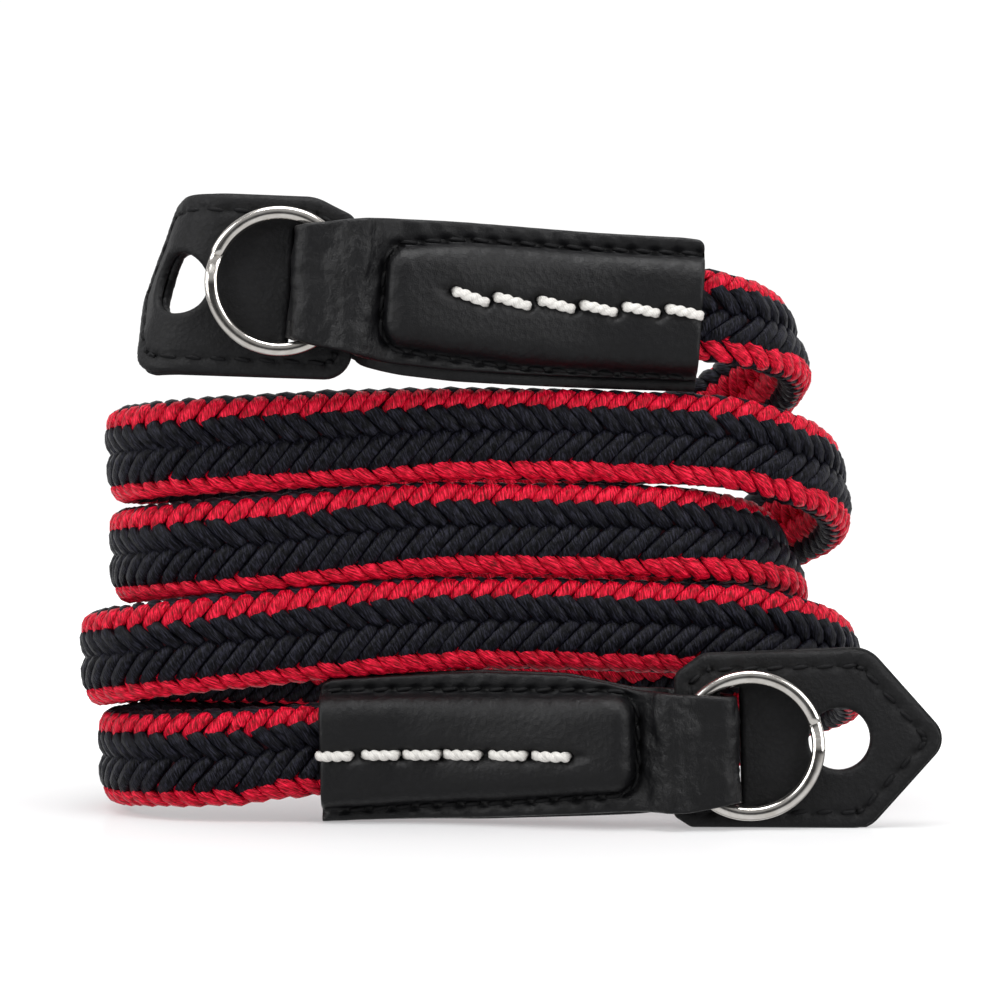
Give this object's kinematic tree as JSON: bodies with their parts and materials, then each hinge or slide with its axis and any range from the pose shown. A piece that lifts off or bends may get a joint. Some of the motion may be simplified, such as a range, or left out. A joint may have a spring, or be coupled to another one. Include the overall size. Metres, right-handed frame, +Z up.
{
  "type": "coiled silk camera strap",
  "caption": "Flat braided silk camera strap in a standing coil, with stitched leather ends, split rings and leather ring guards.",
  "frame": {"origin": "middle of the footprint, on the surface that the coil stands on", "axes": "+Z up, the front runs lie along X and face -Y, the lower leather end points along +X"},
  "size_m": [0.0976, 0.0502, 0.07],
  "materials": {
    "braided_silk": "crimson and black silk strands, satin",
    "black_leather": "smooth grained leather, semi matte",
    "nickel": "polished nickel plate"
  },
  "bodies": {
    "root": {"strap_cord": "braided_silk", "leather_end_lower": "black_leather", "leather_end_upper": "black_leather", "ring_lower": "nickel", "ring_upper": "nickel", "ring_guard_lower": "black_leather", "ring_guard_upper": "black_leather"}
  },
  "joints": []
}
